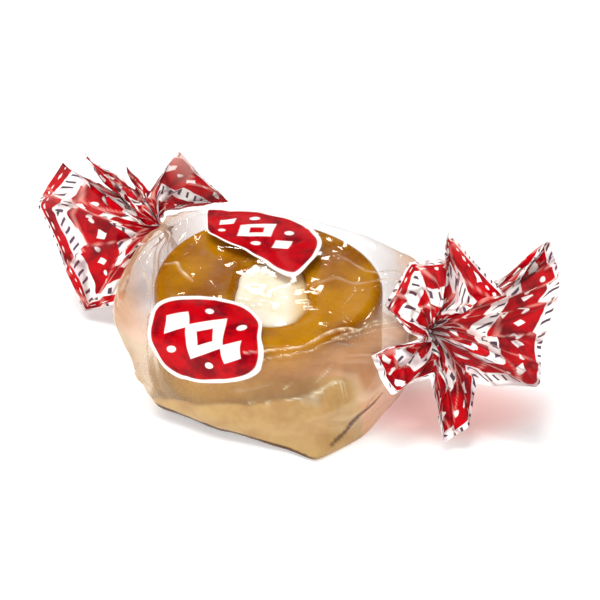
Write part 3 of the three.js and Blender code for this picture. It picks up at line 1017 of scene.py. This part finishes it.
def highest(n, values):
    total = values[0]
    for value in values[1:]:
        total = n.math("MAXIMUM", total, value)
    return total


def motif_row(n, from_edge, across, middle, pitch, motif):
    """A row of small figures along the line at middle. motif gets coordinates about a figure."""
    y = n.math("SUBTRACT", from_edge, middle)
    x = n.math("WRAP", across, pitch / 2, -pitch / 2)
    return motif(x, y)


def tail_print(n, red_ink, white_ink):
    """The tails' bands, parallel to the free edge: white ones with dark strokes, and red ones with
    white diamonds and dots."""
    from_edge, across = n.flat("tails")

    def diamonds(x, y):
        reach = n.math("MULTIPLY_ADD", n.math("ABSOLUTE", x), 1.25, n.math("ABSOLUTE", y))
        return n.ramp(reach, 0.68, 0.82, 1.0, 0.0)

    def dots(x, y):
        return dot(n, x, y, (0.0, 0.0), 0.36)

    def strokes(x, y):
        slanted = n.math("MULTIPLY_ADD", y, 0.45, x)
        return n.math("MULTIPLY", band(n, slanted, -0.2, 0.2, 0.05), band(n, y, -0.6, 0.6, 0.05))

    sway = n.math("SUBTRACT", n.noise(n.object_place(), 240, 2, 0.5), 0.5)
    from_edge = n.math("MULTIPLY_ADD", sway, 2.2, from_edge)
    from_edge = n.math("MULTIPLY_ADD", n.attribute("jump"), JUMP, from_edge)
    across = n.math("MULTIPLY_ADD", sway, -3.0, across)
    between = n.math("ADD", across, FIGURE_PITCH / 2)

    def rows(places, pitch, motif, sideways):
        return [motif_row(n, from_edge, sideways, middle, pitch, motif) for middle in places]

    red = highest(n, [band(n, from_edge, low, high) for low, high in RED_BANDS])
    white = rows(FIGURE_ROWS, FIGURE_PITCH, diamonds, across)
    white += rows(FIGURE_ROWS, FIGURE_PITCH, dots, between)
    dark = rows(STROKE_ROWS, STROKE_PITCH, strokes, across)
    base = n.colour(red, white_ink, red_ink)
    base = n.colour(highest(n, white), base, PRINT_WHITE)
    return n.colour(highest(n, dark), base, PRINT_DARK)


def film_material(label_v):
    """Clear film that mirrors at a slant. Where it stands off the caramel and on its lower
    front it carries a painted veil of reflected light, its creases carry painted highlights
    and its folds painted shade. It is printed with the labels and the tails' bands. Light
    passes where neither covers it."""
    n = Nodes("film")
    u, v = n.flat("sheet")
    tail = n.attribute("tail")
    standoff = n.attribute("standoff")
    on_tail = n.ramp(tail, 0.02, 0.05)

    sway = n.math("SUBTRACT", n.noise(n.object_place(), 190, 1, 0.4), 0.5)
    bent_u = n.math("MULTIPLY_ADD", sway, 2 * LABEL_WARP, u)
    bent_v = n.math("MULTIPLY_ADD", sway, -2 * LABEL_WARP, v)
    masks = []
    for step, shift, degrees, length, width, bend, taper in LABELS:
        middle = (LABEL_AT[0] + shift, label_v + step * LABEL_STEP)
        turn = math.radians(degrees)
        masks.append(medallion(n, bent_u, bent_v, middle, turn, (length, width), bend, taper))
    on_label, label_red = (highest(n, each) for each in zip(*masks))
    deep = n.ramp(n.noise(n.object_place(), 420, 3, 0.6), 0.42, 0.68)
    red_ink = n.colour(deep, PRINT_RED, PRINT_DEEP)
    shade = n.ramp(n.noise(n.object_place(), 260, 3, 0.6), 0.45, 0.7)
    white_ink = n.colour(shade, PRINT_WHITE, PRINT_SHADE)
    label_colour = n.colour(label_red, PRINT_WHITE, red_ink)
    printed = n.math("MAXIMUM", on_label, on_tail)
    ink = n.colour(on_tail, label_colour, tail_print(n, red_ink, white_ink))
    # Painted shade: the tails' ink darkens in its fold bottoms and towards the necks.
    ink = n.colour(n.math("MULTIPLY", n.attribute("painted_valley_shade"), 0.65), ink, PAINTED_TAIL_SHADE)
    near_neck = n.ramp(tail, 0.05, 0.4, 0.5, 0.0)
    ink = n.colour(n.math("MULTIPLY", on_tail, near_neck), ink, PAINTED_TAIL_SHADE)
    # Painted highlights along the tails' creases.
    ink = n.colour(n.math("MULTIPLY", n.attribute("painted_glint"), 0.6), ink, PAINTED_CREST_GLINT)

    facing = n.tree.nodes.new("ShaderNodeLayerWeight")
    facing.inputs["Blend"].default_value = 0.5
    grazing = n.math("POWER", facing.outputs["Facing"], 4.0)
    low_front = n.attribute("low_front")
    painted_glint = n.attribute("painted_glint")
    # fold: painted shade, the contact shadow and the dark fold lines.
    fold = n.attribute("fold")
    mirror = n.math("MULTIPLY_ADD", grazing, 0.75, 0.04)
    mirror = n.math("MULTIPLY", mirror, n.math("SUBTRACT", 1.0, fold))
    mirror = n.math("MULTIPLY", mirror, n.ramp(standoff, 1.0, 1.4, 1.0, 0.35))
    # Painted cover: a veil of reflected light where the film stands off and on the lower front,
    # highlights on creases, shade at folds.
    zones = (standoff, low_front, painted_glint, fold)
    painted_covers = [n.math("MULTIPLY", zone, share) for zone, share in zip(zones, PAINTED_SHARES)]
    veil = n.math("ADD", mirror, highest(n, painted_covers), clamp=True)
    alpha = n.math("MAXIMUM", veil, n.math("MULTIPLY", printed, PRINT_COVER))
    metal = n.math("DIVIDE", mirror, veil, clamp=True)
    cloud = n.ramp(n.noise(n.object_place(), 330, 3, 0.6), 0.35, 0.68)
    front_colour = n.colour(cloud, PAINTED_VEIL_FRONT, PAINTED_VEIL_FRONT_DEEP)
    painted_colour = n.colour(n.ramp(low_front, 0.1, 0.3), PAINTED_VEIL_ENDS, front_colour)
    # Painted highlights along the body's creases.
    painted_colour = n.colour(painted_glint, painted_colour, PAINTED_CREASE_GLINT)
    # Painted shade at the contact line and in folds.
    painted_colour = n.colour(fold, painted_colour, PAINTED_FOLD_SHADE)
    clear_colour = n.colour(metal, painted_colour, FILM_TINT)
    n.set(
        Base_Color=n.colour(printed, clear_colour, ink),
        Metallic=n.math("MULTIPLY", n.math("SUBTRACT", 1.0, printed), metal),
        Roughness=n.math("MULTIPLY_ADD", printed, 0.2, 0.06),
        Specular_IOR_Level=0.1,
        Alpha=alpha,
    )
    return n.material


# ---- floor and light --------------------------------------------------------------------------
# A pink tint painted on the floor as the right tail's shadow, lit through its red film: middle
# and half sizes in millimetres, and the way it lies.
GLOW_AT = (24.0, 3.0)
GLOW_SIZE = (15.0, 8.0)
GLOW_TURN = math.radians(27)
GLOW_STRENGTH = 0.8
PAINTED_SHADOW_PINK = srgb(236, 180, 172)
FLOOR = srgb(247, 247, 247)
FLOOR_HALF = 3.0  # metres
FLOOR_DROP = 0.0001

# Lights aim at LIGHT_AIM: name, place, size, power in watts, and whether surfaces mirror them.
LIGHT_AIM = (0, 0, 0.007)
LIGHTS = (
    ("overhead", (-0.12, 0.0, 0.5), (0.4, 0.4), 2.2, False),
    ("side", (0.45, -0.3, 0.3), (0.3, 0.3), 0.9, False),
    ("fill", (-0.05, -0.5, 0.2), (0.4, 0.3), 1.7, False),
    ("window", (-0.185, 0.355, 0.31), (0.022, 0.022), 0.04, True),
    ("strip", (0.02, -0.06, 0.5), (0.12, 0.015), 0.3, True),
)


WORLD_STRENGTH = 0.2


def painted_floor_shadow(n):
    """How much of the painted pink shadow the floor's colour and emission take up."""
    x, y = n.split(n.object_place())
    along, across = n.about(x, y, (GLOW_AT[0] * MM, GLOW_AT[1] * MM), GLOW_TURN)
    along = n.math("DIVIDE", along, GLOW_SIZE[0] * MM)
    across = n.math("DIVIDE", across, GLOW_SIZE[1] * MM)
    return n.ramp(n.sum_of_squares(along, across), 0.0, 1.0, GLOW_STRENGTH, 0.0)


def make_floor():
    mesh = bpy.data.meshes.new("floor")
    corners = [(i * FLOOR_HALF, j * FLOOR_HALF, 0) for i, j in ((-1, -1), (1, -1), (1, 1), (-1, 1))]
    mesh.from_pydata(corners, [], [(0, 1, 2, 3)])
    floor = bpy.data.objects.new("floor", mesh)
    floor.location.z = -FLOOR_DROP
    bpy.context.scene.collection.objects.link(floor)
    n = Nodes("floor")
    # The floor's colour and emission are painted pink in the tail's shadow.
    painted_shadow = painted_floor_shadow(n)
    n.set(
        Base_Color=n.colour(painted_shadow, FLOOR, PAINTED_SHADOW_PINK),
        Roughness=0.6,
        Emission_Color=n.colour(painted_shadow, (1.0, 1.0, 1.0), PAINTED_SHADOW_PINK),
        Emission_Strength=0.25,
    )
    mesh.materials.append(n.material)


def area_light(name, place, size, power, mirrored):
    data = bpy.data.lights.new(name, "AREA")
    data.shape = "RECTANGLE"
    data.size, data.size_y = size
    data.energy = power
    light = bpy.data.objects.new(name, data)
    light.visible_glossy = mirrored
    light.location = place
    direction = Vector(LIGHT_AIM) - Vector(place)
    light.rotation_euler = direction.to_track_quat("-Z", "Y").to_euler()
    bpy.context.scene.collection.objects.link(light)


def make_lights():
    world = bpy.data.worlds.new("world")
    bpy.context.scene.world = world
    world.use_nodes = True
    background = world.node_tree.nodes["Background"]
    background.inputs["Color"].default_value = (1, 1, 1, 1)
    background.inputs["Strength"].default_value = WORLD_STRENGTH
    world.cycles_visibility.glossy = False
    for light in LIGHTS:
        area_light(*light)


# ---- the scene --------------------------------------------------------------------------------
make_camera()

film, label_v = make_film()
film.data.materials.append(film_material(label_v))
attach(film, "root")
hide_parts("wrapper")

caramel = make_caramel()
caramel.data.materials.append(caramel_material())
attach(caramel, "root")
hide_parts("caramel")

cream = make_cream()
cream.data.materials.append(cream_material())
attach(cream, "root")
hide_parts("cream")

make_floor()
make_lights()

scene = bpy.context.scene
scene.view_settings.view_transform = "Standard"
scene.view_settings.look = "None"
scene.cycles.transparent_max_bounces = 32
scene.cycles.max_bounces = 12
